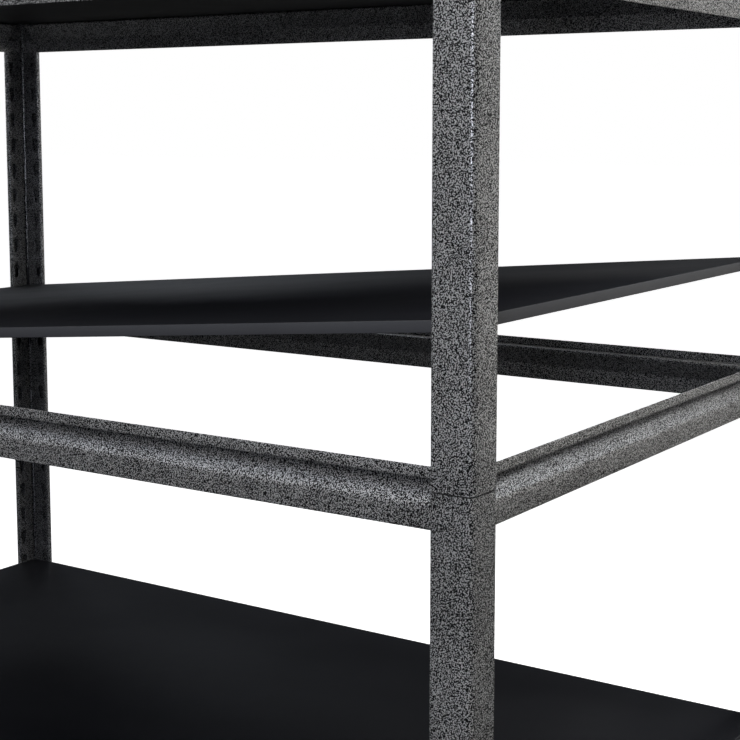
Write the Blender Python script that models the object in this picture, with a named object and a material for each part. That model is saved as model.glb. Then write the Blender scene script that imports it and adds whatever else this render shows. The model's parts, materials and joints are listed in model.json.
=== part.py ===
"""Boltless steel shelving: five tiers of boards carried by rivet beams that hook into four two-part corner posts.

Metres, +Z up. The origin is on the floor, under the middle of the unit. X runs along the width and Y from the
front (-Y) to the back (+Y). Every corner post is modelled in its own corner frame, with the outer corner at the
origin and the two flanges along +X and +Y, and is then turned into its corner of the unit.
"""
import math

import bmesh
import bpy
from mathutils import Vector

# The unit
UNIT_WIDTH = 1.200
UNIT_DEPTH = 0.700
TIER_COUNT = 5
MIDDLE_TIER = 3
GAP = 0.0003

# Keyholes, one in every pitch of a post half, centred in its pitch
PITCH = 0.0381
KEYHOLES_PER_HALF = 24
KEYHOLE_HEIGHT = 0.021
KEYHOLE_TOP_WIDTH = 0.0108
KEYHOLE_FOOT_WIDTH = 0.0068
KEYHOLE_FROM_EDGE = 0.0088
PITCHES_PER_TIER = 11

# Posts: an outer angle whose long edges are folded back into punched strips
POST_FLANGE = 0.038
POST_SHEET = 0.0012
POST_FOLD_DEPTH = 0.007
POST_STRIP_WIDTH = 0.0285
POST_BEND_RADIUS = 0.006
POST_BEND_STEPS = 3
POST_HALF_LENGTH = KEYHOLES_PER_HALF * PITCH

# Plastic caps under the posts
CAP_SOLE = 0.003
CAP_WALL = 0.002
CAP_HEIGHT = 0.024

# Couplers inside the posts at the splice
COUPLER_SHEET = 0.0015
COUPLER_FLANGE = 0.0345
COUPLER_HEIGHT = 0.120

# Beams: lip, ledge, sloping web and bottom band, folded from one sheet
BEAM_SHEET = 0.0012
BEAM_HEIGHT = 0.0505
BEAM_LIP = 0.0104
BEAM_LEDGE = 0.0190
BEAM_BAND_TOP = 0.0310
BEAM_SETBACK = POST_FOLD_DEPTH + GAP
BEAM_TAB_END = 0.0120
BEAM_LEDGE_END = 0.0335

# Rivets staked into the beam ends, one pitch apart, each in the foot of a keyhole
RIVET_SIDES = 6
RIVET_SHANK_RADIUS = 0.0030
RIVET_HEAD_RADIUS = 0.0046
RIVET_HEAD_THICKNESS = 0.0018
RIVET_DROP = 0.0065
RIVETS_PER_END = 2

# Boards
BOARD_THICKNESS = 0.010
BOARD_SIDE_CLEARANCE = 0.003

# The middle board is stored lifted out of its frame, right end first. It turns about a line beyond its left end,
# so that both of its ends come clear of the lips.
LIFT_ANGLE = math.radians(4.9)
LIFT_AXIS_BEYOND_BOARD = 0.165

# Heights that follow
SPLICE_Z = CAP_SOLE + GAP + POST_HALF_LENGTH
KEYHOLE_FOOT_IN_PITCH = (PITCH - KEYHOLE_HEIGHT) / 2
RIVET_SEAT_ABOVE_FOOT = RIVET_SHANK_RADIUS + GAP
MIDDLE_LIP_TOP = SPLICE_Z + KEYHOLE_FOOT_IN_PITCH + RIVET_SEAT_ABOVE_FOOT + RIVET_DROP
TIER_SPACING = PITCHES_PER_TIER * PITCH

# Corner name: quarter turns of the post, sign of X, sign of Y
CORNERS = {
    "front_left": (0, -1, -1),
    "front_right": (1, 1, -1),
    "back_right": (2, 1, 1),
    "back_left": (3, -1, 1),
}


def clear_scene():
    for obj in list(bpy.data.objects):
        bpy.data.objects.remove(obj, do_unlink=True)


def make_material(name, color, roughness, metallic):
    material = bpy.data.materials.new(name)
    material.use_nodes = True
    shader = material.node_tree.nodes["Principled BSDF"]
    shader.inputs["Base Color"].default_value = (*color, 1.0)
    shader.inputs["Roughness"].default_value = roughness
    shader.inputs["Metallic"].default_value = metallic
    material.diffuse_color = (*color, 1.0)
    return material


def mesh_from_bmesh(name, bm, material):
    bmesh.ops.recalc_face_normals(bm, faces=bm.faces)
    mesh = bpy.data.meshes.new(name)
    bm.to_mesh(mesh)
    bm.free()
    mesh.materials.append(material)
    return mesh


def place(name, mesh, location=(0.0, 0.0, 0.0), turn=0.0):
    obj = bpy.data.objects.new(name, mesh)
    obj.location = location
    obj.rotation_euler.z = turn
    bpy.context.collection.objects.link(obj)
    return obj


def tier_lip_top(tier):
    """Height of the beams' upper edge at a tier; tiers are counted from the floor."""
    return MIDDLE_LIP_TOP + (tier - MIDDLE_TIER) * TIER_SPACING


def add_prism(bm, outline, start, stroke):
    """Extrude a closed outline of points in one plane by the stroke."""
    base = bm.faces.new([bm.verts.new(Vector(point) + Vector(start)) for point in outline])
    result = bmesh.ops.extrude_face_region(bm, geom=[base])
    moved = [item for item in result["geom"] if isinstance(item, bmesh.types.BMVert)]
    bmesh.ops.translate(bm, verts=moved, vec=stroke)


def boolean_mesh(name, body_mesh, tool_mesh, operation):
    """Combine two closed meshes and return the result as a plain mesh."""
    body = place(name, body_mesh)
    tool = place(name + "_tool", tool_mesh)
    tool.hide_render = True
    tool.display_type = "WIRE"
    modifier = body.modifiers.new("combine", "BOOLEAN")
    modifier.operation = operation
    modifier.solver = "EXACT"
    modifier.object = tool
    depsgraph = bpy.context.evaluated_depsgraph_get()
    result = bpy.data.meshes.new_from_object(body.evaluated_get(depsgraph))
    result.name = name
    bpy.data.objects.remove(body, do_unlink=True)
    bpy.data.objects.remove(tool, do_unlink=True)
    return result


# Posts

def corner_bend(radius):
    """Arc round the centre of the post's bend, from the flange along X to the flange along Y."""
    quarter = math.pi / 2
    angles = [-quarter - quarter * step / POST_BEND_STEPS for step in range(POST_BEND_STEPS + 1)]
    center = POST_BEND_RADIUS
    return [(center + radius * math.cos(a), center + radius * math.sin(a)) for a in angles]


def both_flanges(points, radius):
    """Points of the flange along X, the bend, and the same points mirrored for the flange along Y."""
    return points + corner_bend(radius) + [(y, x) for x, y in reversed(points)]


def post_outline():
    """Section of the folded post sheet, along its outer side and back along its inner side."""
    far = POST_FLANGE
    strip_end = POST_FLANGE - POST_STRIP_WIDTH
    strip_back = POST_FOLD_DEPTH - POST_SHEET
    outside = [(strip_end, POST_FOLD_DEPTH), (far, POST_FOLD_DEPTH), (far, 0.0)]
    inside = [(strip_end, strip_back), (far - POST_SHEET, strip_back), (far - POST_SHEET, POST_SHEET)]
    outer_path = both_flanges(outside, POST_BEND_RADIUS)
    inner_path = both_flanges(inside, POST_BEND_RADIUS - POST_SHEET)
    return outer_path + list(reversed(inner_path))


def keyhole_outline():
    """Simplified keyhole, wide at its top and narrow at its foot, as (across, up) from the foot's middle."""
    top = KEYHOLE_TOP_WIDTH / 2
    foot = KEYHOLE_FOOT_WIDTH / 2
    return [(-foot, 0.0), (foot, 0.0), (top, KEYHOLE_HEIGHT), (-top, KEYHOLE_HEIGHT)]


def post_half_mesh(material):
    """One post half, from its lower end at Z = 0."""
    body = bmesh.new()
    add_prism(body, [(x, y, 0.0) for x, y in post_outline()], (0, 0, 0), (0, 0, POST_HALF_LENGTH))

    punch = bmesh.new()
    punch_start = POST_FOLD_DEPTH - 2 * POST_SHEET
    punch_stroke = 3 * POST_SHEET
    keyhole_across = POST_FLANGE - KEYHOLE_FROM_EDGE
    for index in range(KEYHOLES_PER_HALF):
        foot_z = index * PITCH + KEYHOLE_FOOT_IN_PITCH
        along_x = [(keyhole_across + across, 0.0, foot_z + up) for across, up in keyhole_outline()]
        along_y = [(0.0, keyhole_across + across, foot_z + up) for across, up in keyhole_outline()]
        add_prism(punch, along_x, (0, punch_start, 0), (0, punch_stroke, 0))
        add_prism(punch, along_y, (punch_start, 0, 0), (punch_stroke, 0, 0))

    body_mesh = mesh_from_bmesh("post_blank", body, material)
    punch_mesh = mesh_from_bmesh("post_punch", punch, material)
    return boolean_mesh("post_half", body_mesh, punch_mesh, "DIFFERENCE")


def angle_outline(outer, inner, length):
    """Plain angle section between an outer and an inner offset from the post's outer faces."""
    return [(outer, outer), (length, outer), (length, inner), (inner, inner), (inner, length), (outer, length)]


def coupler_mesh(material):
    """Bent angle that lies against the inside of the post's outer sheet, centred on the splice."""
    outer = POST_SHEET + GAP
    inner = outer + COUPLER_SHEET
    outer_path = both_flanges([(COUPLER_FLANGE, outer)], POST_BEND_RADIUS - outer)
    inner_path = both_flanges([(COUPLER_FLANGE, inner)], POST_BEND_RADIUS - inner)
    section = outer_path + list(reversed(inner_path))
    bm = bmesh.new()
    add_prism(bm, [(x, y, 0.0) for x, y in section], (0, 0, -COUPLER_HEIGHT / 2), (0, 0, COUPLER_HEIGHT))
    return mesh_from_bmesh("post_coupler", bm, material)


def cap_mesh(material):
    """Open-topped angle cap: a sole with a wall that stands round the post's end."""
    outside = angle_outline(-GAP - CAP_WALL, POST_FOLD_DEPTH + GAP + CAP_WALL, POST_FLANGE + GAP + CAP_WALL)
    pocket = angle_outline(-GAP, POST_FOLD_DEPTH + GAP, POST_FLANGE + GAP)
    body = bmesh.new()
    add_prism(body, [(x, y, 0.0) for x, y in outside], (0, 0, 0), (0, 0, CAP_HEIGHT))
    cutter = bmesh.new()
    add_prism(cutter, [(x, y, 0.0) for x, y in pocket], (0, 0, CAP_SOLE), (0, 0, CAP_HEIGHT))
    body_mesh = mesh_from_bmesh("cap_blank", body, material)
    cutter_mesh = mesh_from_bmesh("cap_pocket", cutter, material)
    return boolean_mesh("foot_cap", body_mesh, cutter_mesh, "DIFFERENCE")


def add_posts(paint, black_steel, plastic):
    post = post_half_mesh(paint)
    coupler = coupler_mesh(black_steel)
    cap = cap_mesh(plastic)
    for corner, (quarter_turns, side_x, side_y) in CORNERS.items():
        x = side_x * UNIT_WIDTH / 2
        y = side_y * UNIT_DEPTH / 2
        turn = quarter_turns * math.pi / 2
        place("foot_cap_" + corner, cap, (x, y, 0.0), turn)
        place("lower_post_" + corner, post, (x, y, CAP_SOLE + GAP), turn)
        place("upper_post_" + corner, post, (x, y, SPLICE_Z + GAP), turn)
        place("post_coupler_" + corner, coupler, (x, y, SPLICE_Z), turn)


# Beams

def beam_sections():
    """Quads of the beam's section, top to bottom: lip, ledge, web and band, as (inward, up) points."""
    half = BEAM_SHEET / 2
    fold = BEAM_LEDGE - half
    centre = [
        Vector((half, 0.0)),
        Vector((half, -BEAM_LIP + half)),
        Vector((fold, -BEAM_LIP + half)),
        Vector((half, -BEAM_BAND_TOP)),
        Vector((half, -BEAM_HEIGHT)),
    ]
    stations = []
    for index, point in enumerate(centre):
        before = (point - centre[index - 1]).normalized() if index else None
        after = (centre[index + 1] - point).normalized() if index < len(centre) - 1 else None
        before = before or after
        after = after or before
        miter = (Vector((-before.y, before.x)) + Vector((-after.y, after.x))).normalized()
        reach = half / miter.dot(Vector((-after.y, after.x)))
        stations.append((point - miter * reach, point + miter * reach))
    return [
        (stations[i][0], stations[i + 1][0], stations[i + 1][1], stations[i][1])
        for i in range(len(stations) - 1)
    ]


def extrude_faces(bm, faces, stroke):
    result = bmesh.ops.extrude_face_region(bm, geom=faces)
    moved = [item for item in result["geom"] if isinstance(item, bmesh.types.BMVert)]
    bmesh.ops.translate(bm, verts=moved, vec=stroke)
    return [item for item in result["geom"] if isinstance(item, bmesh.types.BMFace)]


def add_rivet(bm, across, up):
    """Shank and flat head, from the middle of the beam's sheet outwards (-Y)."""
    shank_end = -(POST_SHEET + 2 * GAP)
    profile = [
        (0.0, BEAM_SHEET / 2),
        (RIVET_SHANK_RADIUS, BEAM_SHEET / 2),
        (RIVET_SHANK_RADIUS, shank_end),
        (RIVET_HEAD_RADIUS, shank_end),
        (RIVET_HEAD_RADIUS, shank_end - RIVET_HEAD_THICKNESS),
        (0.0, shank_end - RIVET_HEAD_THICKNESS),
    ]
    rings = []
    for radius, y in profile[1:-1]:
        ring = []
        for side in range(RIVET_SIDES):
            angle = 2 * math.pi * side / RIVET_SIDES
            ring.append(bm.verts.new((across + radius * math.cos(angle), y, up + radius * math.sin(angle))))
        rings.append(ring)
    for lower, upper in zip(rings, rings[1:]):
        for side in range(RIVET_SIDES):
            after = (side + 1) % RIVET_SIDES
            bm.faces.new((lower[side], lower[after], upper[after], upper[side]))
    bm.faces.new(list(reversed(rings[0])))
    bm.faces.new(rings[-1])


def beam_mesh(name, span, material):
    """One beam between two posts, centred on X = 0, its outer face at Y = 0 and its lip's top at Z = 0.

    The ledge and the web stop short of the corner. The lip and the band run on as tabs that lie against the
    posts' punched strips and carry the rivets.
    """
    folded_length = span - 2 * BEAM_LEDGE_END
    tab_length = BEAM_LEDGE_END - BEAM_TAB_END
    bm = bmesh.new()
    start = -folded_length / 2
    verts = {}

    def vert(point):
        key = (round(point.x, 7), round(point.y, 7))
        if key not in verts:
            verts[key] = bm.verts.new((start, point.x, point.y))
        return verts[key]

    near = [bm.faces.new([vert(point) for point in quad]) for quad in beam_sections()]
    far = extrude_faces(bm, near, (folded_length, 0, 0))
    far.sort(key=lambda face: -face.calc_center_median().z)
    lip, band = 0, -1
    for caps, side in ((near, -1), (far, 1)):
        tab_roots = [caps[lip], caps[band]]
        for root in tab_roots:
            extrude_faces(bm, [root], (side * tab_length, 0, 0))
        bmesh.ops.delete(bm, geom=[root for root in tab_roots if root.is_valid], context="FACES_ONLY")
    body_mesh = mesh_from_bmesh(name + "_sheet", bm, material)

    rivets = bmesh.new()
    rivet_across = span / 2 - (POST_FLANGE - KEYHOLE_FROM_EDGE)
    for side in (-1, 1):
        for index in range(RIVETS_PER_END):
            add_rivet(rivets, side * rivet_across, -RIVET_DROP - index * PITCH)
    rivet_mesh = mesh_from_bmesh(name + "_rivets", rivets, material)
    return boolean_mesh(name, body_mesh, rivet_mesh, "UNION")


def add_beams(paint):
    long_beam = beam_mesh("long_beam", UNIT_WIDTH, paint)
    short_beam = beam_mesh("short_beam", UNIT_DEPTH, paint)
    out_x = UNIT_WIDTH / 2 - BEAM_SETBACK
    out_y = UNIT_DEPTH / 2 - BEAM_SETBACK
    for tier in range(1, TIER_COUNT + 1):
        z = tier_lip_top(tier)
        place(f"long_beam_front_{tier}", long_beam, (0.0, -out_y, z), 0.0)
        place(f"long_beam_back_{tier}", long_beam, (0.0, out_y, z), math.pi)
        place(f"short_beam_right_{tier}", short_beam, (out_x, 0.0, z), math.pi / 2)
        place(f"short_beam_left_{tier}", short_beam, (-out_x, 0.0, z), -math.pi / 2)


# Boards

def board_mesh(length, width, material):
    """Board with its left lower edge's middle at the origin."""
    bm = bmesh.new()
    outline = [(0, -width / 2, 0), (length, -width / 2, 0), (length, width / 2, 0), (0, width / 2, 0)]
    add_prism(bm, outline, (0, 0, 0), (0, 0, BOARD_THICKNESS))
    return mesh_from_bmesh("board", bm, material)


def add_boards(laminate):
    margin = BEAM_SETBACK + BEAM_SHEET + BOARD_SIDE_CLEARANCE
    length = UNIT_WIDTH - 2 * margin
    mesh = board_mesh(length, UNIT_DEPTH - 2 * margin, laminate)
    seat_drop = BEAM_LIP - BEAM_SHEET - GAP
    for tier in range(1, TIER_COUNT + 1):
        seat_z = tier_lip_top(tier) - seat_drop
        if tier != MIDDLE_TIER:
            place(f"board_{tier}", mesh, (-length / 2, 0.0, seat_z))
            continue
        axis = bpy.data.objects.new("middle_board_lift_axis", None)
        axis.location = (-length / 2 - LIFT_AXIS_BEYOND_BOARD, 0.0, seat_z)
        axis.rotation_euler.y = -LIFT_ANGLE
        bpy.context.collection.objects.link(axis)
        board = place(f"board_{tier}", mesh, (LIFT_AXIS_BEYOND_BOARD, 0.0, 0.0))
        board.parent = axis


def main():
    clear_scene()
    post_paint = make_material("post_powder_coat", (0.085, 0.087, 0.092), 0.45, 0.35)
    beam_paint = make_material("beam_powder_coat", (0.095, 0.096, 0.100), 0.42, 0.35)
    black_steel = make_material("coupler_black_steel", (0.040, 0.040, 0.043), 0.45, 0.80)
    plastic = make_material("cap_black_plastic", (0.018, 0.018, 0.020), 0.50, 0.0)
    laminate = make_material("board_black_laminate", (0.020, 0.020, 0.023), 0.42, 0.0)
    add_posts(post_paint, black_steel, plastic)
    add_beams(beam_paint)
    add_boards(laminate)


main()
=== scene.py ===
"""Boltless steel shelving: slotted posts, folded beams, staked rivets, laminated boards and foot caps.

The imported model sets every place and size. Lengths are in metres, X runs along the width, and the
front is -Y.
"""
import json
import math

import bmesh
import bpy
from mathutils import Matrix, Vector


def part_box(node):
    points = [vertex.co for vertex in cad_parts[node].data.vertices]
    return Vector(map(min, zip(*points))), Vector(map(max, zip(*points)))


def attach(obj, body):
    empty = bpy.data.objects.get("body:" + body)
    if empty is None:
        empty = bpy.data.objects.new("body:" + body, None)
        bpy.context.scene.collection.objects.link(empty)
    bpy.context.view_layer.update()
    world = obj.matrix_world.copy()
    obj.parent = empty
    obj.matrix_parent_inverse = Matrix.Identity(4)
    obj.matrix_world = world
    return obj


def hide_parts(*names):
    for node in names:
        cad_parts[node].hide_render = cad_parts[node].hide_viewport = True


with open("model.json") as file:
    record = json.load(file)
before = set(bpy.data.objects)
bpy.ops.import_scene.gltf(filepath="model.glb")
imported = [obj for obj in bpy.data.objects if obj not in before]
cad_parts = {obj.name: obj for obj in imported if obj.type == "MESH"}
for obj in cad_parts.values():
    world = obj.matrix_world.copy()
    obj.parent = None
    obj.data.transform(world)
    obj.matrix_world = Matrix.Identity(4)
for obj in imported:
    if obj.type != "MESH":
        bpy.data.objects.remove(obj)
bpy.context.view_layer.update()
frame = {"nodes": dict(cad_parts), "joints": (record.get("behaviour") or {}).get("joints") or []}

CORNERS = {
    "front_left": (0, -1, -1),
    "front_right": (1, 1, -1),
    "back_right": (2, 1, 1),
    "back_left": (3, -1, 1),
}
TIERS = range(1, 6)
MIDDLE_TIER = 3

# Post section
POST_SHEET = 0.0012
FOLD_DEPTH = 0.0070
STRIP_WIDTH = 0.0285
POST_BEND_RADIUS = 0.0060
FOLD_RADIUS = 0.0016
SEAM_EASE = 0.0005

# Keyholes: one in every pitch, centred in it
PITCH = 0.0381
KEYHOLE_HEIGHT = 0.0210
KEYHOLE_TOP_RADIUS = 0.0054
KEYHOLE_FOOT_RADIUS = 0.0034
KEYHOLE_FROM_EDGE = 0.0088
KEYHOLE_RIM = 0.00035
KEYHOLE_NECK_RISE = 0.42
KEYHOLE_NECK_FLARE = 0.0002
KEYHOLE_HEAD_OPENING = 0.75
KEYHOLE_FOOT_STEPS = 8
KEYHOLE_HEAD_STEPS = 14

# Thinner powder and painted shade in the posts' folds: the veins are thinned there, which darkens the folds
# as painted shade
FOLD_SHADE_LAYER = "thin_coat_and_painted_shade"
FOLD_SHADE_CORNER = POST_BEND_RADIUS + 0.0002
FOLD_SHADE_STARTS = 0.4 * POST_SHEET
FOLD_SHADE_FADES_OVER = 0.5 * POST_SHEET
FOLD_SHADE_EDGE = 0.0008
FOLD_SHADE_EDGE_FADE = 0.0020
FOLD_SHADE_ON_STRIP = 0.45

# Beam section
BEAM_SHEET = 0.0012
BEAM_LIP = 0.0104
BEAM_LEDGE = 0.0190
BEAM_BAND_TOP = 0.0310
BEAM_SETBACK = 0.0073
BEAM_TAB_END = 0.0120
BEAM_LEDGE_END = 0.0335
LEDGE_BEND_RADIUS = 0.0014
WEB_BEND_RADIUS = 0.0030
BAND_BEND_RADIUS = 0.0060

# Rivets
RIVET_SHANK_RADIUS = 0.0030
RIVET_HEAD_RADIUS = 0.0046
RIVET_HEAD_THICKNESS = 0.0018
RIVET_STAKE_RADIUS = 0.0036
RIVET_STAKE_HEIGHT = 0.0013
RIVET_DROP = 0.0065
RIVET_SHANK_LENGTH = 0.0018
RIVET_EDGE = 0.0004
RIVET_STAKE_FLARE = 0.0002
RIVET_DOME_STEPS = 5
RIVET_TURN_STEPS = 20
RIVETS_PER_END = 2

# Boards and foot caps
BOARD_EASE = 0.0006
CAP_WALL = 0.0020
CAP_GAP = 0.0003
CAP_SOLE = 0.0030
CAP_EASE = 0.0006
CAP_BEND_STEPS = 4

# Sheet bends and rounded free edges
BEND_STEPS = 5
FREE_EDGE_DEGREES = (20, 50, 75)

# Two measures this near are the same
CLOSE = 1e-6


# The unit's measures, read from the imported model

def node_box(name):
    low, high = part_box(name)
    return Vector(low), Vector(high)


POST_LOW, POST_HIGH = node_box("lower_post_front_right")
HALF_WIDTH = POST_HIGH.x
HALF_DEPTH = -POST_LOW.y
POST_FLANGE = POST_HIGH.x - POST_LOW.x
POST_HALF_LENGTH = POST_HIGH.z - POST_LOW.z
KEYHOLES_PER_HALF = round(POST_HALF_LENGTH / PITCH)
MIDDLE_BEAM_LOW, MIDDLE_BEAM_HIGH = node_box(f"long_beam_front_{MIDDLE_TIER}")
MIDDLE_LIP_TOP = MIDDLE_BEAM_HIGH.z
BEAM_HEIGHT = MIDDLE_BEAM_HIGH.z - MIDDLE_BEAM_LOW.z


# Small tools for meshes

def new_object(name, mesh):
    obj = bpy.data.objects.new(name, mesh)
    bpy.context.scene.collection.objects.link(obj)
    return obj


def plain_mesh(name, bm):
    mesh = bpy.data.meshes.new(name)
    bm.to_mesh(mesh)
    bm.free()
    return mesh


def soften(mesh, sharp_degrees):
    mesh.shade_smooth()
    mesh.set_sharp_from_angle(angle=math.radians(sharp_degrees))


def mesh_of(name, bm, material, sharp_degrees=32.0):
    mesh = plain_mesh(name, bm)
    mesh.materials.append(material)
    soften(mesh, sharp_degrees)
    return mesh


def finish_piece(obj, body, slot, *nodes):
    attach(obj, body)
    if nodes:
        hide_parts(*nodes)
    return obj


def arc_points(center, radius, start, end, steps):
    """Points on an arc, angles in radians, both ends included."""
    points = []
    for step in range(steps + 1):
        angle = start + (end - start) * step / steps
        points.append(Vector((center[0] + radius * math.cos(angle), center[1] + radius * math.sin(angle))))
    return points


def turned_corner(center, start, end, steps):
    """Points round a centre from one arm to the other, both ends included."""
    sweep = start.angle_signed(end)
    points = []
    for step in range(steps + 1):
        arm = start.copy()
        arm.rotate(Matrix.Rotation(-sweep * step / steps, 2))
        points.append(center + arm)
    return points


def rounded_path(corners, radii):
    """An open path whose inner corners are turned with the given radii."""
    path = [Vector(corners[0])]
    for index in range(1, len(corners) - 1):
        point = Vector(corners[index])
        back = (Vector(corners[index - 1]) - point).normalized()
        ahead = (Vector(corners[index + 1]) - point).normalized()
        half_angle = math.acos(max(-1.0, min(1.0, back.dot(ahead)))) / 2
        radius = radii[index - 1]
        trim = radius / math.tan(half_angle)
        center = point + (back + ahead).normalized() * (radius / math.sin(half_angle))
        start = point + back * trim - center
        end = point + ahead * trim - center
        path += turned_corner(center, start, end, BEND_STEPS)
    path.append(Vector(corners[-1]))
    return path


def sheet_stations(path, thickness):
    """Pairs of points, one on each side of a sheet that follows the path, with rounded free edges."""
    half = thickness / 2
    stations = []
    last = len(path) - 1
    for index, point in enumerate(path):
        before = (point - path[index - 1]).normalized() if index else None
        after = (path[index + 1] - point).normalized() if index < last else None
        before = before or after
        after = after or before
        side = (Vector((-before.y, before.x)) + Vector((-after.y, after.x))).normalized()
        reach = half / side.dot(Vector((-after.y, after.x)))
        stations.append((point - side * reach, point + side * reach))

    def rounded_edge(point, direction, side):
        edge = []
        for degrees in FREE_EDGE_DEGREES:
            spread = half * math.sin(math.radians(degrees))
            set_back = half * (1 - math.cos(math.radians(degrees)))
            at = point + direction * set_back
            edge.append((at - side * spread, at + side * spread))
        return edge

    first_way = (path[1] - path[0]).normalized()
    last_way = (path[-2] - path[-1]).normalized()
    first_side = Vector((-first_way.y, first_way.x))
    last_side = Vector((last_way.y, -last_way.x))
    start = rounded_edge(path[0], first_way, first_side)
    end = rounded_edge(path[-1], last_way, last_side)
    stations[0] = tuple(p + first_way * half for p in stations[0])
    stations[-1] = tuple(p + last_way * half for p in stations[-1])
    return start + stations + list(reversed(end))


# Surfaces

BLACK = (0.0, 0.0, 0.0, 1.0)
RUBBED_STEEL_AND_EDGE_HIGHLIGHT = (0.30, 0.30, 0.31, 1.0)
SCUFF_GREY = (0.12, 0.12, 0.125, 1.0)
WORN_AND_HIGHLIT_EDGE_GREY = (0.10, 0.10, 0.105, 1.0)
CAP_BLACK = (0.012, 0.012, 0.013, 1.0)
DUST = (0.07, 0.066, 0.06, 1.0)
BLACKENED_STEEL = (0.020, 0.020, 0.022, 1.0)
GREYED_STEEL = (0.055, 0.056, 0.060, 1.0)
PAINT_GROUND = (0.003, 0.003, 0.0035)
POST_SILVER = (0.61, 0.615, 0.63)
BEAM_SILVER = (0.61, 0.61, 0.62)
FILM_BLACK = (0.0044, 0.0047, 0.0070)
EDGING_GREY = (0.047, 0.048, 0.055)

VEIN_SCALE = 1010.0
VEIN_LEVEL = 0.533
VEIN_LEVEL_DRIFT = 0.012
VEIN_SOFTNESS = 0.020
VEIN_TURN = (0.62, 0.41, 0.93)
VEIN_HEIGHT = 0.00012
DRIFT_SCALE = 14.0
# How much of the veins the folds lose: thinner powder and painted shade in the folds
FOLD_THINNING_AND_SHADE = 0.85
CAP_DUST_RISE = 0.018


def socket(group, name, kind, direction, default=None):
    item = group.interface.new_socket(name=name, in_out=direction, socket_type=kind)
    if default is not None:
        item.default_value = default
    return item


class Nodes:
    """A short way to write node trees."""

    def __init__(self, tree):
        self.tree = tree

    def add(self, kind, **settings):
        node = self.tree.nodes.new(kind)
        for name, value in settings.items():
            setattr(node, name, value)
        return node

    def link(self, start, end):
        self.tree.links.new(start, end)

    def put(self, socket_in, value):
        if isinstance(value, bpy.types.NodeSocket):
            self.link(value, socket_in)
        elif value is not None:
            socket_in.default_value = value

    def math(self, operation, a, b, clamp=False):
        node = self.add("ShaderNodeMath", operation=operation, use_clamp=clamp)
        for index, value in enumerate((a, b)):
            self.put(node.inputs[index], value)
        return node.outputs[0]

    def remap(self, value, low, high, to_low=0.0, to_high=1.0, smooth=False):
        node = self.add("ShaderNodeMapRange", interpolation_type="SMOOTHSTEP" if smooth else "LINEAR")
        for index, item in enumerate((value, low, high, to_low, to_high)):
            self.put(node.inputs[index], item)
        return node.outputs[0]

    def mix(self, factor, a, b):
        node = self.add("ShaderNodeMix", data_type="RGBA")
        self.put(node.inputs[0], factor)
        self.put(node.inputs[6], a)
        self.put(node.inputs[7], b)
        return node.outputs[2]

    def noise(self, vector, scale, detail=2.0, roughness=0.5, distortion=0.0):
        node = self.add("ShaderNodeTexNoise")
        self.put(node.inputs["Vector"], vector)
        self.put(node.inputs["Scale"], scale)
        self.put(node.inputs["Detail"], detail)
        self.put(node.inputs["Roughness"], roughness)
        self.put(node.inputs["Distortion"], distortion)
        return node.outputs[0]

    def mapping(self, vector, rotation=(0.0, 0.0, 0.0), scale=(1.0, 1.0, 1.0)):
        node = self.add("ShaderNodeMapping")
        self.put(node.inputs["Vector"], vector)
        self.put(node.inputs["Rotation"], rotation)
        self.put(node.inputs["Scale"], scale)
        return node.outputs[0]

    def bump(self, height, strength, distance):
        node = self.add("ShaderNodeBump")
        self.put(node.inputs["Strength"], strength)
        self.put(node.inputs["Distance"], distance)
        self.put(node.inputs["Height"], height)
        return node.outputs[0]


def vein_group():
    """The veins that hammered powder coat cures into: their mask, their height and a slow drift."""
    group = bpy.data.node_groups.new("cured_vein_pattern", "ShaderNodeTree")
    socket(group, "Vector", "NodeSocketVector", "INPUT")
    socket(group, "Vein Scale", "NodeSocketFloat", "INPUT", VEIN_SCALE)
    socket(group, "Vein Level", "NodeSocketFloat", "INPUT", VEIN_LEVEL)
    socket(group, "Vein", "NodeSocketFloat", "OUTPUT")
    socket(group, "Height", "NodeSocketFloat", "OUTPUT")
    socket(group, "Drift", "NodeSocketFloat", "OUTPUT")
    n = Nodes(group)
    inp = n.add("NodeGroupInput")
    out = n.add("NodeGroupOutput")
    vector = n.mapping(inp.outputs["Vector"], rotation=VEIN_TURN)
    veins = n.noise(vector, inp.outputs["Vein Scale"], detail=0.3, roughness=0.4, distortion=0.25)
    drift = n.noise(vector, DRIFT_SCALE, detail=3.0)
    level = n.math("ADD", inp.outputs["Vein Level"],
                   n.remap(drift, 0.3, 0.7, VEIN_LEVEL_DRIFT, -VEIN_LEVEL_DRIFT))
    vein = n.remap(veins, n.math("SUBTRACT", level, VEIN_SOFTNESS), n.math("ADD", level, VEIN_SOFTNESS),
                   smooth=True)
    flakes = n.noise(vector, n.math("MULTIPLY", inp.outputs["Vein Scale"], 0.6), detail=1.0)
    glint = n.remap(flakes, 0.35, 0.65, 0.82, 1.0)
    n.link(n.math("MULTIPLY", vein, glint), out.inputs["Vein"])
    n.link(vein, out.inputs["Height"])
    n.link(drift, out.inputs["Drift"])
    return group


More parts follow.
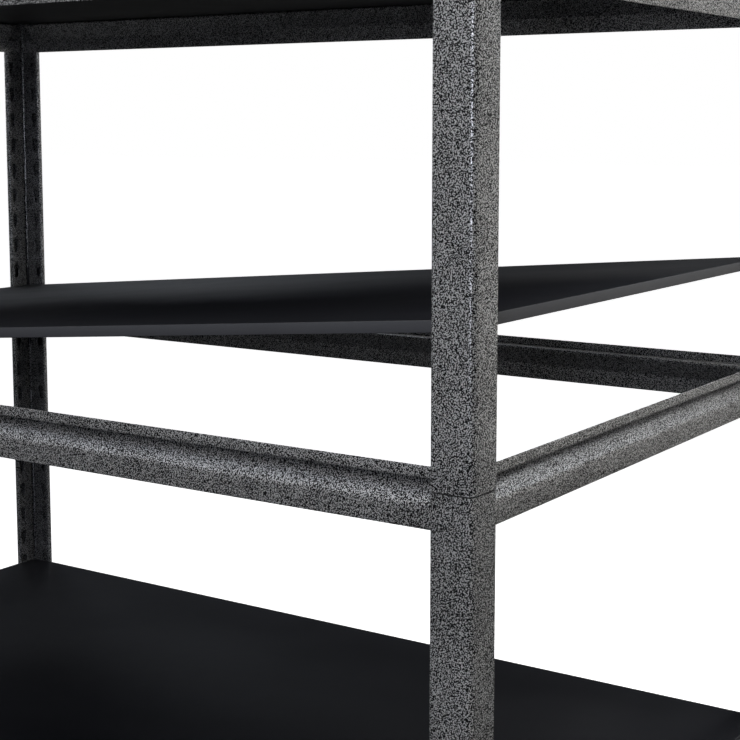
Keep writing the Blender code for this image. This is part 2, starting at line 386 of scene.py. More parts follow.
def edge_wear_and_highlight_group():
    """How far a surface point lies on a sharp outer edge, broken up in patches: abraded by handling, and a
    painted highlight where edges catch light.
    """
    group = bpy.data.node_groups.new("handled_edges_and_edge_highlight", "ShaderNodeTree")
    socket(group, "Vector", "NodeSocketVector", "INPUT")
    socket(group, "Edge Radius", "NodeSocketFloat", "INPUT", 0.001)
    socket(group, "Wear And Highlight", "NodeSocketFloat", "OUTPUT")
    n = Nodes(group)
    inp = n.add("NodeGroupInput")
    out = n.add("NodeGroupOutput")
    bevel = n.add("ShaderNodeBevel", samples=4)
    n.put(bevel.inputs["Radius"], inp.outputs["Edge Radius"])
    geometry = n.add("ShaderNodeNewGeometry")
    dot = n.add("ShaderNodeVectorMath", operation="DOT_PRODUCT")
    n.link(bevel.outputs[0], dot.inputs[0])
    n.link(geometry.outputs["Normal"], dot.inputs[1])
    bent = n.remap(dot.outputs["Value"], 0.97, 0.80)
    patches = n.remap(n.noise(inp.outputs["Vector"], 220.0, detail=4.0), 0.42, 0.62)
    n.link(n.math("MULTIPLY", bent, patches, clamp=True), out.inputs["Wear And Highlight"])
    return group


VEIN = vein_group()
EDGE_WEAR_AND_HIGHLIGHT = edge_wear_and_highlight_group()


def group_node(n, group, **values):
    node = n.add("ShaderNodeGroup")
    node.node_tree = group
    for name, value in values.items():
        n.put(node.inputs[name.replace("_", " ")], value)
    return node


def start_material(name):
    material = bpy.data.materials.new(name)
    material.use_nodes = True
    n = Nodes(material.node_tree)
    shader = material.node_tree.nodes["Principled BSDF"]
    coords = n.add("ShaderNodeTexCoord")
    return material, n, shader, coords.outputs["Object"]


def vein_paint(name, silver, thin_coat_and_shade=0.0):
    """Black ground with raised silver veins.

    thin_coat_and_shade is how much of the veins is lost where the piece's thin_coat_and_painted_shade
    attribute is 1: powder hardly reaches into a deep fold, and the darker fold is painted shade as well.
    """
    material, n, shader, where = start_material(name)
    pattern = group_node(n, VEIN, Vector=where, Vein_Scale=VEIN_SCALE, Vein_Level=VEIN_LEVEL)
    wear_and_highlight = group_node(n, EDGE_WEAR_AND_HIGHLIGHT, Vector=where, Edge_Radius=0.0008)
    vein = pattern.outputs["Vein"]
    # Painted shade: fewer silver veins where the fold mask is 1 darken the posts' folds.
    if thin_coat_and_shade > 0.0:
        fold_shade_attribute = n.add("ShaderNodeAttribute", attribute_type="GEOMETRY", attribute_name=FOLD_SHADE_LAYER)
        vein = n.math("MULTIPLY", vein, n.remap(fold_shade_attribute.outputs["Fac"], 0.0, 1.0, 1.0, 1.0 - thin_coat_and_shade))
    shade = n.remap(pattern.outputs["Drift"], 0.3, 0.7, 0.88, 1.10)
    silver_color = n.mix(shade, BLACK, (*silver, 1.0))
    paint = n.mix(vein, (*PAINT_GROUND, 1.0), silver_color)
    # Lighter edges: steel abraded by handling, and a painted highlight along the edges.
    rubbed_and_highlit = n.math("MULTIPLY", wear_and_highlight.outputs["Wear And Highlight"], 0.35)
    n.link(n.mix(rubbed_and_highlit, paint, RUBBED_STEEL_AND_EDGE_HIGHLIGHT), shader.inputs["Base Color"])
    n.link(n.remap(vein, 0.0, 1.0, 0.50, 0.30), shader.inputs["Roughness"])
    n.link(n.remap(vein, 0.0, 1.0, 0.0, 0.60), shader.inputs["Metallic"])
    shader.inputs["Specular IOR Level"].default_value = 0.15
    n.link(n.bump(pattern.outputs["Height"], 0.45, VEIN_HEIGHT), shader.inputs["Normal"])
    return material


def laminate(name, color, roughness, grain_height):
    """Black melamine film: a faint pressed grain, dulled in broad patches and lightly scuffed."""
    material, n, shader, where = start_material(name)
    broad = n.noise(where, 5.0, detail=3.0, roughness=0.6)
    grain = n.noise(where, 900.0, detail=2.0, roughness=0.6)
    pebble = n.add("ShaderNodeTexVoronoi", feature="SMOOTH_F1")
    n.put(pebble.inputs["Vector"], where)
    n.put(pebble.inputs["Scale"], 700.0)
    stretched = n.mapping(where, rotation=(0.0, 0.0, math.radians(24)), scale=(0.05, 1.0, 1.0))
    scuffs = n.remap(n.noise(stretched, 160.0, detail=5.0, roughness=0.7), 0.66, 0.80)
    wear_and_highlight = group_node(n, EDGE_WEAR_AND_HIGHLIGHT, Vector=where, Edge_Radius=0.0009)
    tone = n.remap(broad, 0.25, 0.75, 0.86, 1.16)
    base = n.mix(tone, BLACK, (*color, 1.0))
    scuffed = n.mix(n.math("MULTIPLY", scuffs, 0.10), base, SCUFF_GREY)
    # Lighter board edges: abraded by handling, and a painted highlight along the edges.
    worn_and_highlit = n.mix(n.math("MULTIPLY", wear_and_highlight.outputs["Wear And Highlight"], 0.25), scuffed, WORN_AND_HIGHLIT_EDGE_GREY)
    n.link(worn_and_highlit, shader.inputs["Base Color"])
    rough = n.math("ADD", n.remap(broad, 0.25, 0.75, roughness - 0.05, roughness + 0.05),
                   n.math("MULTIPLY", scuffs, 0.10))
    n.link(rough, shader.inputs["Roughness"])
    shader.inputs["Specular IOR Level"].default_value = 0.35
    pressed = n.math("ADD", n.math("MULTIPLY", grain, 0.5), pebble.outputs["Distance"])
    n.link(n.bump(pressed, 0.35, grain_height), shader.inputs["Normal"])
    return material


def moulded_plastic(name):
    """Black plastic of the foot caps, with a spark-eroded grain and dust low down."""
    material, n, shader, where = start_material(name)
    grain = n.noise(where, 1400.0, detail=2.0)
    broad = n.noise(where, 40.0, detail=3.0)
    split = n.add("ShaderNodeSeparateXYZ")
    n.link(where, split.inputs[0])
    low_down = n.remap(split.outputs["Z"], CAP_DUST_RISE, 0.0)
    dust = n.math("MULTIPLY", low_down, n.remap(broad, 0.35, 0.75, 0.1, 0.5))
    n.link(n.mix(dust, CAP_BLACK, DUST), shader.inputs["Base Color"])
    n.link(n.remap(broad, 0.3, 0.7, 0.42, 0.58), shader.inputs["Roughness"])
    n.link(n.bump(grain, 0.4, 0.0001), shader.inputs["Normal"])
    return material


def dark_steel(name):
    """Blackened steel of the couplers, with faint rolling lines."""
    material, n, shader, where = start_material(name)
    lines = n.noise(n.mapping(where, scale=(1.0, 1.0, 0.03)), 900.0, detail=4.0, roughness=0.65)
    cloud = n.noise(where, 60.0, detail=3.0)
    n.link(n.mix(cloud, BLACKENED_STEEL, GREYED_STEEL), shader.inputs["Base Color"])
    n.link(n.remap(lines, 0.3, 0.7, 0.34, 0.50), shader.inputs["Roughness"])
    shader.inputs["Metallic"].default_value = 0.85
    n.link(n.bump(lines, 0.2, 0.0001), shader.inputs["Normal"])
    return material


POST_PAINT = vein_paint("post_vein_powder_coat", POST_SILVER, thin_coat_and_shade=FOLD_THINNING_AND_SHADE)
BEAM_PAINT = vein_paint("beam_vein_powder_coat", BEAM_SILVER)
BOARD_FILM = laminate("board_black_film", FILM_BLACK, roughness=0.45, grain_height=0.00005)
BOARD_EDGING = laminate("board_edging", EDGING_GREY, roughness=0.50, grain_height=0.00008)
CAP_PLASTIC = moulded_plastic("foot_cap_plastic")
COUPLER_STEEL = dark_steel("coupler_blackened_steel")


# Geometry node trees for what repeats

def repeat_group():
    """Repeats a stretch of folded section along Z and welds the stretches into one length."""
    tree = bpy.data.node_groups.new("repeat_punched_pitch", "GeometryNodeTree")
    socket(tree, "Stretch", "NodeSocketGeometry", "INPUT")
    socket(tree, "Count", "NodeSocketInt", "INPUT", 1)
    socket(tree, "Pitch", "NodeSocketFloat", "INPUT", PITCH)
    socket(tree, "Paint", "NodeSocketMaterial", "INPUT")
    socket(tree, "Geometry", "NodeSocketGeometry", "OUTPUT")
    n = Nodes(tree)
    inp = n.add("NodeGroupInput")
    out = n.add("NodeGroupOutput")
    step = n.add("ShaderNodeCombineXYZ")
    n.link(inp.outputs["Pitch"], step.inputs["Z"])
    line = n.add("GeometryNodeMeshLine", mode="OFFSET")
    n.link(inp.outputs["Count"], line.inputs["Count"])
    n.link(step.outputs[0], line.inputs["Offset"])
    copies = n.add("GeometryNodeInstanceOnPoints")
    n.link(line.outputs[0], copies.inputs["Points"])
    n.link(inp.outputs["Stretch"], copies.inputs["Instance"])
    real = n.add("GeometryNodeRealizeInstances")
    n.link(copies.outputs[0], real.inputs[0])
    weld = n.add("GeometryNodeMergeByDistance")
    weld.inputs["Distance"].default_value = 10 * CLOSE
    n.link(real.outputs[0], weld.inputs["Geometry"])
    paint = n.add("GeometryNodeSetMaterial")
    n.link(weld.outputs[0], paint.inputs["Geometry"])
    n.link(inp.outputs["Paint"], paint.inputs["Material"])
    n.link(paint.outputs[0], out.inputs[0])
    return tree


def rivet_group():
    """Sets one rivet on every point of the beam-end layout."""
    tree = bpy.data.node_groups.new("set_rivets", "GeometryNodeTree")
    socket(tree, "Layout", "NodeSocketGeometry", "INPUT")
    socket(tree, "Rivet", "NodeSocketObject", "INPUT")
    socket(tree, "Size", "NodeSocketFloat", "INPUT", 1.0)
    socket(tree, "Paint", "NodeSocketMaterial", "INPUT")
    socket(tree, "Geometry", "NodeSocketGeometry", "OUTPUT")
    n = Nodes(tree)
    inp = n.add("NodeGroupInput")
    out = n.add("NodeGroupOutput")
    rivet = n.add("GeometryNodeObjectInfo")
    n.link(inp.outputs["Rivet"], rivet.inputs["Object"])
    copies = n.add("GeometryNodeInstanceOnPoints")
    n.link(inp.outputs["Layout"], copies.inputs["Points"])
    n.link(rivet.outputs["Geometry"], copies.inputs["Instance"])
    size = n.add("ShaderNodeCombineXYZ")
    for index in range(3):
        n.link(inp.outputs["Size"], size.inputs[index])
    n.link(size.outputs[0], copies.inputs["Scale"])
    real = n.add("GeometryNodeRealizeInstances")
    n.link(copies.outputs[0], real.inputs[0])
    paint = n.add("GeometryNodeSetMaterial")
    n.link(real.outputs[0], paint.inputs["Geometry"])
    n.link(inp.outputs["Paint"], paint.inputs["Material"])
    n.link(paint.outputs[0], out.inputs[0])
    return tree


def run_tree(name, base, tree, **values):
    """Evaluates a tree on a mesh and gives the result back as a plain mesh."""
    obj = new_object(name, base)
    modifier = obj.modifiers.new("tree", "NODES")
    modifier.node_group = tree
    identifiers = {item.name: item.identifier for item in tree.interface.items_tree if item.in_out == "INPUT"}
    for key, value in values.items():
        modifier[identifiers[key]] = value
    obj.update_tag()
    depsgraph = bpy.context.evaluated_depsgraph_get()
    result = bpy.data.meshes.new_from_object(obj.evaluated_get(depsgraph))
    obj.modifiers.remove(modifier)
    bpy.data.objects.remove(obj, do_unlink=True)
    return result


REPEAT = repeat_group()
RIVETS = rivet_group()


# Posts

def keyhole_points(grow=0.0):
    """Round head and tapering slot, as (across, up) from the foot's bottom, anticlockwise from the foot."""
    top_radius = KEYHOLE_TOP_RADIUS + grow
    foot_radius = KEYHOLE_FOOT_RADIUS + grow
    top_center = KEYHOLE_HEIGHT - KEYHOLE_TOP_RADIUS
    foot_center = KEYHOLE_FOOT_RADIUS
    neck_up = foot_center + (top_center - foot_center) * KEYHOLE_NECK_RISE
    neck_across = foot_radius + KEYHOLE_NECK_FLARE
    foot = arc_points((0.0, foot_center), foot_radius, math.pi, 2 * math.pi, KEYHOLE_FOOT_STEPS)
    head = arc_points((0.0, top_center), top_radius,
                      -KEYHOLE_HEAD_OPENING, math.pi + KEYHOLE_HEAD_OPENING, KEYHOLE_HEAD_STEPS)
    return foot + [Vector((neck_across, neck_up))] + head + [Vector((-neck_across, neck_up))]


def post_stations():
    """The whole folded section, from one strip's free edge round the corner to the other's."""
    far = POST_FLANGE
    half = POST_SHEET / 2
    strip_end = POST_FLANGE - STRIP_WIDTH
    strip_y = FOLD_DEPTH - half
    corners = [
        (strip_end, strip_y), (far - half, strip_y), (far - half, half),
        (half, half),
        (half, far - half), (strip_y, far - half), (strip_y, strip_end),
    ]
    radii = [FOLD_RADIUS, FOLD_RADIUS, POST_BEND_RADIUS - half, FOLD_RADIUS, FOLD_RADIUS]
    return sheet_stations(rounded_path(corners, radii), POST_SHEET)


def window_limits(stations):
    """The stations where the first strip's flat begins and where it ends."""
    flat_y = FOLD_DEPTH - POST_SHEET / 2
    flat = []
    for index, (a, b) in enumerate(stations[: len(stations) // 2]):
        middle = (a + b) / 2
        full = (a - b).length > POST_SHEET * 0.99
        if full and abs(middle.y - flat_y) < CLOSE:
            flat.append(index)
    return flat[0], flat[-1]


def punched_window(bm, place_point, low, high):
    """One pitch of a strip between two edges, with its keyhole: both faces, the rolled rim and the wall.

    place_point turns (across, up, depth) into a point; depth 0 is the strip's open face.
    """
    middle = POST_FLANGE - KEYHOLE_FROM_EDGE
    foot = (PITCH - KEYHOLE_HEIGHT) / 2

    def ring(grow, depth):
        return [bm.verts.new(place_point(middle + p.x, foot + p.y, depth)) for p in keyhole_points(grow)]

    def face_corners(depth):
        spots = ((low, 0.0), (high, 0.0), (high, PITCH), (low, PITCH))
        return [bm.verts.new(place_point(across, up, depth)) for across, up in spots]

    def bridge(first, second):
        count = len(first)
        for index in range(count):
            after = (index + 1) % count
            bm.faces.new((first[index], first[after], second[after], second[index]))

    def fill(outer, inner):
        edges = []
        for loop in (outer, inner):
            for index in range(len(loop)):
                pair = (loop[index], loop[(index + 1) % len(loop)])
                edges.append(bm.edges.get(pair) or bm.edges.new(pair))
        bmesh.ops.triangle_fill(bm, edges=edges, use_beauty=True)

    rim_front = ring(KEYHOLE_RIM, 0.0)
    wall_front = ring(0.0, KEYHOLE_RIM)
    wall_back = ring(0.0, POST_SHEET)
    bridge(rim_front, wall_front)
    bridge(wall_front, wall_back)
    fill(face_corners(0.0), rim_front)
    fill(face_corners(POST_SHEET), wall_back)


def post_stretch():
    """One pitch of a post half, open at both ends.

    Each strip's flat is left out of the runs along the section, and a punched window fills it.
    """
    stations = post_stations()
    first, last = window_limits(stations)
    mirror_first = len(stations) - 1 - last
    mirror_last = len(stations) - 1 - first
    bm = bmesh.new()

    def run(points):
        low = [bm.verts.new((p.x, p.y, 0.0)) for p in points]
        high = [bm.verts.new((p.x, p.y, PITCH)) for p in points]
        for index in range(len(points) - 1):
            bm.faces.new((low[index], low[index + 1], high[index + 1], high[index]))

    one_side = [pair[0] for pair in stations]
    other_side = [pair[1] for pair in stations]
    run(list(reversed(one_side[: first + 1])) + other_side[: first + 1])
    run(one_side[last: mirror_first + 1])
    run(other_side[last: mirror_first + 1])
    run(one_side[mirror_last:] + list(reversed(other_side[mirror_last:])))

    edges = sorted((stations[first][0].x, stations[last][0].x))
    punched_window(bm, lambda across, up, depth: (across, FOLD_DEPTH - depth, up), *edges)
    punched_window(bm, lambda across, up, depth: (FOLD_DEPTH - depth, across, up), *edges)
    bmesh.ops.remove_doubles(bm, verts=bm.verts, dist=CLOSE)
    return plain_mesh("punched_pitch", bm)


def coat_loss_and_fold_shade(x, y):
    """How thinly the powder lies at a point of the section, and how much painted shade that puts into the
    folds.

    0 on the outside and in the round of the corner, half on the strips, 1 in the folds behind them.
    """
    depth = min(x, y)
    along = max(x, y)
    if along < FOLD_SHADE_CORNER:
        return 0.0
    inside = min(max((depth - FOLD_SHADE_STARTS) / FOLD_SHADE_FADES_OVER, 0.0), 1.0)
    from_edge = min(max((POST_FLANGE - along - FOLD_SHADE_EDGE) / FOLD_SHADE_EDGE_FADE, 0.0), 1.0)
    on_strip = depth > FOLD_DEPTH - 1.1 * POST_SHEET
    return inside * from_edge * (FOLD_SHADE_ON_STRIP if on_strip else 1.0)


def post_half():
    """A whole post half from its lower end at Z = 0, closed at both ends.

    The ends stop short by SEAM_EASE, so that the splice shows as a line.
    """
    mesh = run_tree("post_half_build", post_stretch(), REPEAT,
                    Count=KEYHOLES_PER_HALF, Pitch=PITCH, Paint=POST_PAINT)
    bm = bmesh.new()
    bm.from_mesh(mesh)
    bmesh.ops.remove_doubles(bm, verts=bm.verts, dist=CLOSE)
    open_edges = [edge for edge in bm.edges if edge.is_boundary]
    bmesh.ops.triangle_fill(bm, edges=open_edges, use_beauty=True)
    bmesh.ops.recalc_face_normals(bm, faces=bm.faces)
    # The fold mask: thinner powder and painted shade in the posts' folds.
    coat_and_shade_layer = bm.verts.layers.float.new(FOLD_SHADE_LAYER)
    for vert in bm.verts:
        vert[coat_and_shade_layer] = coat_loss_and_fold_shade(vert.co.x, vert.co.y)
        if vert.co.z < CLOSE:
            vert.co.z += SEAM_EASE
        elif vert.co.z > POST_HALF_LENGTH - CLOSE:
            vert.co.z -= SEAM_EASE
    return mesh_of("post_half", bm, POST_PAINT)


def corner_matrix(corner, z):
    quarter_turns, side_x, side_y = CORNERS[corner]
    place = Matrix.Translation((side_x * HALF_WIDTH, side_y * HALF_DEPTH, z))
    return place @ Matrix.Rotation(quarter_turns * math.pi / 2, 4, "Z")


def placed_copy(name, mesh, matrix):
    copy = mesh.copy()
    copy.transform(matrix)
    return new_object(name, copy)


def add_posts():
    template = post_half()
    for corner in CORNERS:
        for half in ("lower", "upper"):
            node = f"{half}_post_{corner}"
            bottom = node_box(node)[0].z
            obj = placed_copy("punched_" + node, template, corner_matrix(corner, bottom))
            finish_piece(obj, "frame", "post_powder_coat", node)


# Beams

def beam_stations():
    """The folded section, from the lip's top over the ledge and down the sloping web to the band's foot."""
    half = BEAM_SHEET / 2
    fold = BEAM_LEDGE - half
    corners = [
        (half, 0.0), (half, -BEAM_LIP + half), (fold, -BEAM_LIP + half),
        (half, -BEAM_BAND_TOP), (half, -BEAM_HEIGHT),
    ]
    radii = [LEDGE_BEND_RADIUS, WEB_BEND_RADIUS / 2, BAND_BEND_RADIUS]
    return sheet_stations(rounded_path(corners, radii), BEAM_SHEET)


def beam_sheet(span):
    """One folded beam, centred on X = 0, outer face at Y = 0, lip's top at Z = 0, with its end tabs."""
    stations = beam_stations()
    half = BEAM_SHEET / 2
    upright = [abs((a.x + b.x) / 2 - half) < CLOSE for a, b in stations]
    lip_end = next(i for i, flat in enumerate(upright) if not flat) - 1
    band_start = len(stations) - next(i for i, flat in enumerate(reversed(upright)) if not flat)
    near_x = -(span / 2 - BEAM_LEDGE_END)
    tab_x = -(span / 2 - BEAM_TAB_END)
    bm = bmesh.new()

    def section(x, indexes):
        return {i: tuple(bm.verts.new((x, p.x, p.y)) for p in stations[i]) for i in indexes}

    def skin(first, second, indexes):
        for a, b in zip(indexes, indexes[1:]):
            for side in (0, 1):
                bm.faces.new((first[a][side], first[b][side], second[b][side], second[a][side]))

    def end_cap(ring, indexes):
        for a, b in zip(indexes, indexes[1:]):
            bm.faces.new((ring[a][0], ring[b][0], ring[b][1], ring[a][1]))

    def edge_strip(first, second, index):
        bm.faces.new((first[index][0], first[index][1], second[index][1], second[index][0]))

    everything = range(len(stations))
    lip = range(0, lip_end + 1)
    middle = range(lip_end, band_start + 1)
    band = range(band_start, len(stations))
    inner = {side: section(side * near_x, everything) for side in (1, -1)}
    skin(inner[1], inner[-1], everything)
    edge_strip(inner[1], inner[-1], 0)
    edge_strip(inner[1], inner[-1], len(stations) - 1)
    for side in (1, -1):
        end_cap(inner[side], middle)
        for part in (lip, band):
            outer = section(side * tab_x, part)
            skin(inner[side], outer, part)
            end_cap(outer, part)
            edge_strip(inner[side], outer, part[0])
            edge_strip(inner[side], outer, part[-1])
    bmesh.ops.remove_doubles(bm, verts=bm.verts, dist=CLOSE / 10)
    bmesh.ops.recalc_face_normals(bm, faces=bm.faces)
    return mesh_of("beam_sheet", bm, BEAM_PAINT, 28.0)


def rivet_mesh():
    """A turned rivet whose axis is Y: flat head outside (-Y), staked dome inside."""
    head_outer = -RIVET_SHANK_LENGTH - RIVET_HEAD_THICKNESS
    head_inner = -RIVET_SHANK_LENGTH
    head_flat = RIVET_HEAD_RADIUS - RIVET_EDGE
    inside = BEAM_SHEET
    profile = [
        (0.0, head_outer),
        (head_flat, head_outer),
        (RIVET_HEAD_RADIUS, head_outer + RIVET_EDGE),
        (RIVET_HEAD_RADIUS, head_inner - RIVET_EDGE),
        (head_flat, head_inner),
        (RIVET_SHANK_RADIUS, head_inner),
        (RIVET_SHANK_RADIUS, inside - RIVET_STAKE_FLARE),
        (RIVET_STAKE_RADIUS, inside),
    ]
    for step in range(1, RIVET_DOME_STEPS):
        angle = math.pi / 2 * step / RIVET_DOME_STEPS
        across = RIVET_STAKE_RADIUS * math.cos(angle)
        profile.append((across, inside + RIVET_STAKE_HEIGHT * math.sin(angle)))
    profile.append((0.0, inside + RIVET_STAKE_HEIGHT))
    bm = bmesh.new()
    verts = [bm.verts.new((radius, y, 0.0)) for radius, y in profile]
    edges = [bm.edges.new(pair) for pair in zip(verts, verts[1:])]
    bmesh.ops.spin(bm, geom=verts + edges, cent=(0, 0, 0), axis=(0, 1, 0), angle=2 * math.pi,
                   steps=RIVET_TURN_STEPS, use_merge=True, use_duplicate=False)
    bmesh.ops.remove_doubles(bm, verts=bm.verts, dist=CLOSE)
    bmesh.ops.recalc_face_normals(bm, faces=bm.faces)
    return mesh_of("rivet", bm, BEAM_PAINT, 35.0)


def rivet_layout(span):
    """A point for every rivet of a beam: seated in the keyholes' feet, a pitch apart."""
    bm = bmesh.new()
    across = span / 2 - (POST_FLANGE - KEYHOLE_FROM_EDGE)
    for side in (-1, 1):
        for row in range(RIVETS_PER_END):
            bm.verts.new((side * across, 0.0, -RIVET_DROP - row * PITCH))
    return plain_mesh("rivet_layout", bm)


def add_beams():
    rivet = new_object("rivet_pattern", rivet_mesh())
    spans = {"long": 2 * HALF_WIDTH, "short": 2 * HALF_DEPTH}
    sheets = {kind: beam_sheet(span) for kind, span in spans.items()}
    rivets = {}
    for kind, span in spans.items():
        mesh = run_tree(kind + "_rivets_build", rivet_layout(span), RIVETS,
                        Rivet=rivet, Size=1.0, Paint=BEAM_PAINT)
        soften(mesh, 35.0)
        rivets[kind] = mesh
    bpy.data.objects.remove(rivet, do_unlink=True)
    out_x = HALF_WIDTH - BEAM_SETBACK
    out_y = HALF_DEPTH - BEAM_SETBACK
    sides = {
        "long_beam_front": ("long", (0.0, -out_y), 0.0),
        "long_beam_back": ("long", (0.0, out_y), math.pi),
        "short_beam_right": ("short", (out_x, 0.0), math.pi / 2),
        "short_beam_left": ("short", (-out_x, 0.0), -math.pi / 2),
    }
    for tier in TIERS:
        for name, (kind, (x, y), turn) in sides.items():
            node = f"{name}_{tier}"
            top = node_box(node)[1].z
            matrix = Matrix.Translation((x, y, top)) @ Matrix.Rotation(turn, 4, "Z")
            sheet = placed_copy("folded_" + node, sheets[kind], matrix)
            finish_piece(sheet, "frame", "beam_powder_coat", node)
            studs = placed_copy("rivets_" + node, rivets[kind], matrix)
            finish_piece(studs, "frame", "beam_powder_coat")


# Boards

def board_mesh(length, width, thickness):
    """A board centred on the origin, with eased edges: film on both faces and edging round the sides."""
    bm = bmesh.new()
    bmesh.ops.create_cube(bm, size=1.0, matrix=Matrix.Diagonal((length, width, thickness, 1.0)))
    bmesh.ops.bevel(bm, geom=bm.edges[:], offset=BOARD_EASE, segments=3, profile=0.5, affect="EDGES")
    bmesh.ops.recalc_face_normals(bm, faces=bm.faces)
    mesh = mesh_of("board", bm, BOARD_FILM, 40.0)
    mesh.materials.append(BOARD_EDGING)
    for polygon in mesh.polygons:
        polygon.material_index = 0 if abs(polygon.normal.z) > 0.6 else 1
    return mesh


def add_boards():
    """Every board has the size of a flat one; the middle one is tilted by the angle it can sink through."""
    flat_low, flat_high = node_box("board_2")
    template = board_mesh(*(flat_high - flat_low))
    middle_lift = next(joint for joint in frame["joints"] if joint["name"] == "middle_board_lift")
    tilts = {MIDDLE_TIER: math.radians(middle_lift["range_deg"][0])}
    for tier in TIERS:
        node = f"board_{tier}"
        low, high = node_box(node)
        matrix = Matrix.Translation((low + high) / 2) @ Matrix.Rotation(tilts.get(tier, 0.0), 4, "Y")
        obj = placed_copy("laminated_" + node, template, matrix)
        finish_piece(obj, "loose_" + node, "board_black_laminate", node)


# Foot caps and couplers

def rounded_outline(points, radius):
    """A closed outline of square corners, each turned with the radius."""
    outline = []
    count = len(points)
    for index, spot in enumerate(points):
        point = Vector(spot)
        back = (Vector(points[index - 1]) - point).normalized()
        ahead = (Vector(points[(index + 1) % count]) - point).normalized()
        center = point + (back + ahead) * radius
        start = point + back * radius - center
        end = point + ahead * radius - center
        outline += turned_corner(center, start, end, CAP_BEND_STEPS)
    return outline


def angle_section(outer, inner, length):
    """The corners of an L whose arms run from outer to inner and reach to length."""
    return [
        (outer, outer), (length, outer), (length, inner),
        (inner, inner), (inner, length), (outer, length),
    ]


def cap_template(height):
    """A moulded cap: rounded outer wall with an eased rim and foot, open pocket, closed sole."""
    deep = FOLD_DEPTH + CAP_GAP
    far = POST_FLANGE + CAP_GAP
    bm = bmesh.new()

    def ring(grow, z, radius):
        spots = angle_section(-CAP_GAP - grow, deep + grow, far + grow)
        return [bm.verts.new((p.x, p.y, z)) for p in rounded_outline(spots, radius)]

    rings = [
        ring(CAP_WALL - CAP_EASE, 0.0, 0.0014),
        ring(CAP_WALL, CAP_EASE, 0.0018),
        ring(CAP_WALL, height - CAP_EASE, 0.0018),
        ring(CAP_WALL - CAP_EASE, height, 0.0014),
        ring(CAP_EASE / 3, height, 0.0004),
        ring(0.0, height - CAP_EASE / 2, 0.0003),
        ring(0.0, CAP_SOLE, 0.0003),
    ]
    count = len(rings[0])
    for lower, upper in zip(rings, rings[1:]):
        for index in range(count):
            after = (index + 1) % count
            bm.faces.new((lower[index], lower[after], upper[after], upper[index]))
    bm.faces.new(list(reversed(rings[0])))
    bm.faces.new(rings[-1])
    bmesh.ops.recalc_face_normals(bm, faces=bm.faces)
    return mesh_of("foot_cap", bm, CAP_PLASTIC, 40.0)


def add_caps_and_couplers():
    low, high = node_box("foot_cap_front_right")
    template = cap_template(high.z - low.z)
    for corner in CORNERS:
        node = "foot_cap_" + corner
        obj = placed_copy("moulded_" + node, template, corner_matrix(corner, 0.0))
        finish_piece(obj, "frame", "cap_black_plastic", node)
        coupler_materials = frame["nodes"]["post_coupler_" + corner].data.materials
        coupler_materials.clear()
        coupler_materials.append(COUPLER_STEEL)


# Studio

FLOOR_REACH = 40.0
FLOOR_TONE = (0.16, 0.16, 0.16, 1.0)
FLOOR_SEEN_TONE = (0.70, 0.70, 0.70, 1.0)
FLOOR_SEEN_GLOW = 0.985
WHITE = (1.0, 1.0, 1.0, 1.0)
LOW_SKY = (0.004, 0.004, 0.0045, 1.0)
HIGH_SKY = (0.032, 0.034, 0.042, 1.0)

NEUTRAL_WHITE = (1.0, 1.0, 0.99)
COOL_WHITE = (0.86, 0.92, 1.0)
BLUISH_WHITE = (0.78, 0.86, 1.0)
STRIP_WHITE = (0.85, 0.88, 1.0)
MINT_WHITE = (0.92, 0.98, 1.0)
CREAM_WHITE = (1.0, 0.98, 0.94)
WARM_WHITE = (1.0, 0.955, 0.82)
LAMP_WHITE = (1.0, 0.97, 0.86)

# Name, azimuth from the front towards the right and elevation in degrees, distance, size, power, colour
SOFTBOXES = (
    ("front_softbox", 2, 40, 2.6, (1.1, 2.2), 26.0, NEUTRAL_WHITE),
    ("front_strip", 24, 8, 2.4, (0.25, 1.1), 11.0, STRIP_WHITE),
    ("front_fill", -30, 2, 2.6, (1.6, 1.6), 1.5, NEUTRAL_WHITE),
    ("left_softbox", -55, 38, 2.6, (1.4, 1.0), 3.0, BLUISH_WHITE),
    ("left_rear_softbox", -127, 32, 3.0, (1.0, 0.9), 10.0, COOL_WHITE),
    ("right_softbox", 95, 50, 2.6, (1.6, 1.0), 38.0, WARM_WHITE),
    ("right_fill", 150, 2, 2.6, (1.6, 1.6), 6.2, CREAM_WHITE),
    ("rear_softbox", 163, 24, 2.6, (1.2, 0.8), 5.8, COOL_WHITE),
    ("high_right_softbox", 100, 68, 2.6, (1.6, 0.8), 19.0, BLUISH_WHITE),
    ("high_front_softbox", 0, 68, 2.6, (1.6, 0.8), 17.0, MINT_WHITE),
    ("left_side_fill", -84, 16, 2.8, (1.2, 1.2), 9.0, NEUTRAL_WHITE),
    ("back_fill", 182, 46, 3.0, (1.6, 1.0), 12.0, NEUTRAL_WHITE),
    ("overhead_softbox", 0, 88, 2.2, (1.8, 1.8), 32.0, LAMP_WHITE),
)
LIT_SPOT = Vector((0.45, -0.2, 1.0))

SENSOR_WIDTH = 36.0
LENS = 75.28
LENS_SHIFT_Y = -0.0838
CAMERA_FROM_CORNER = Vector((0.5702, -0.9908, 0.2629))
CAMERA_HEADING = 0.5898
CAMERA_PITCH = 0.1189


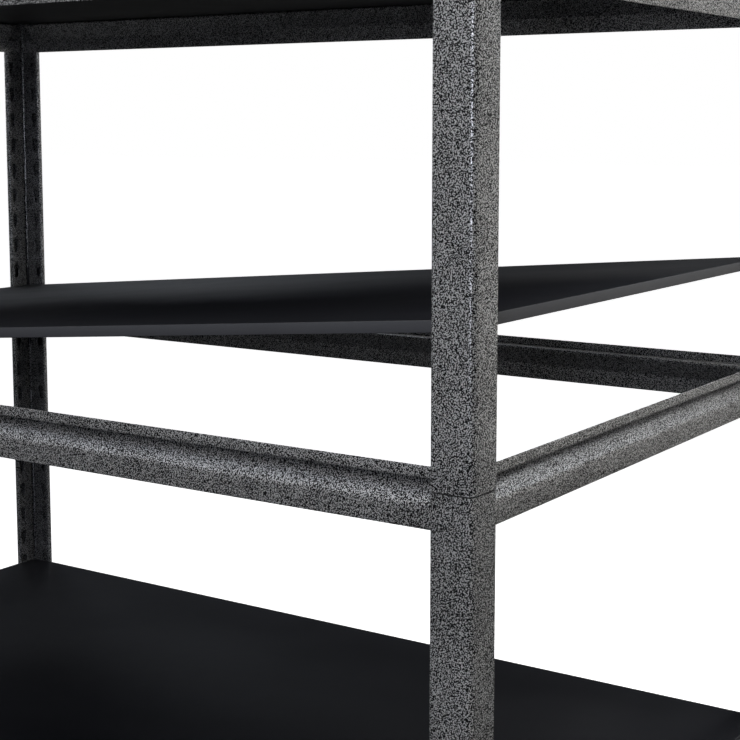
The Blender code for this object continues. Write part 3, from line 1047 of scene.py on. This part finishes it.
def add_floor():
    """A matt floor that the camera sees as white and the shelving sees as grey."""
    bm = bmesh.new()
    bmesh.ops.create_grid(bm, x_segments=1, y_segments=1, size=FLOOR_REACH)
    mesh = plain_mesh("studio_floor", bm)
    material, n, shader, _ = start_material("pale_floor")
    shader.inputs["Roughness"].default_value = 0.9
    shader.inputs["Specular IOR Level"].default_value = 0.1
    shader.inputs["Emission Color"].default_value = WHITE
    seen = n.add("ShaderNodeLightPath").outputs["Is Camera Ray"]
    n.link(n.mix(seen, FLOOR_TONE, FLOOR_SEEN_TONE), shader.inputs["Base Color"])
    n.link(n.math("MULTIPLY", seen, FLOOR_SEEN_GLOW), shader.inputs["Emission Strength"])
    mesh.materials.append(material)
    new_object("studio_floor", mesh)


def add_softbox(name, azimuth, elevation, distance, size, power, color):
    light = bpy.data.lights.new(name, "AREA")
    light.shape = "RECTANGLE"
    light.size, light.size_y = size
    light.energy = power
    light.color = color
    turn = math.radians(azimuth)
    rise = math.radians(elevation)
    away = Vector((math.sin(turn) * math.cos(rise), -math.cos(turn) * math.cos(rise), math.sin(rise)))
    obj = bpy.data.objects.new(name, light)
    obj.location = LIT_SPOT + away * distance
    obj.rotation_euler = (-away).to_track_quat("-Z", "Y").to_euler()
    bpy.context.scene.collection.objects.link(obj)


def add_light():
    """The softboxes, and a sky that is white to the camera and a faint gradient to the shelving."""
    world = bpy.data.worlds.new("studio")
    bpy.context.scene.world = world
    world.use_nodes = True
    n = Nodes(world.node_tree)
    background = world.node_tree.nodes["Background"]
    path = n.add("ShaderNodeLightPath")
    direction = n.add("ShaderNodeTexCoord")
    split = n.add("ShaderNodeSeparateXYZ")
    n.link(direction.outputs["Generated"], split.inputs[0])
    rise = n.remap(split.outputs["Z"], 0.02, 0.55, smooth=True)
    sky = n.mix(rise, LOW_SKY, HIGH_SKY)
    n.link(n.mix(path.outputs["Is Camera Ray"], sky, WHITE), background.inputs["Color"])
    for softbox in SOFTBOXES:
        add_softbox(*softbox)


def add_camera():
    """Stands before the front right corner, a little above the middle tier, and looks across the unit."""
    camera = bpy.data.cameras.new("camera")
    camera.sensor_width = SENSOR_WIDTH
    camera.lens = LENS
    camera.shift_y = LENS_SHIFT_Y
    obj = bpy.data.objects.new("camera", camera)
    obj.location = Vector((HALF_WIDTH, -HALF_DEPTH, MIDDLE_LIP_TOP)) + CAMERA_FROM_CORNER
    obj.rotation_euler = (math.pi / 2 - CAMERA_PITCH, 0.0, CAMERA_HEADING)
    bpy.context.scene.collection.objects.link(obj)
    bpy.context.scene.camera = obj


def main():
    add_camera()
    add_posts()
    add_beams()
    add_boards()
    add_caps_and_couplers()
    add_floor()
    add_light()
    bpy.context.scene.view_settings.view_transform = "Standard"


main()

bpy.context.view_layer.update()
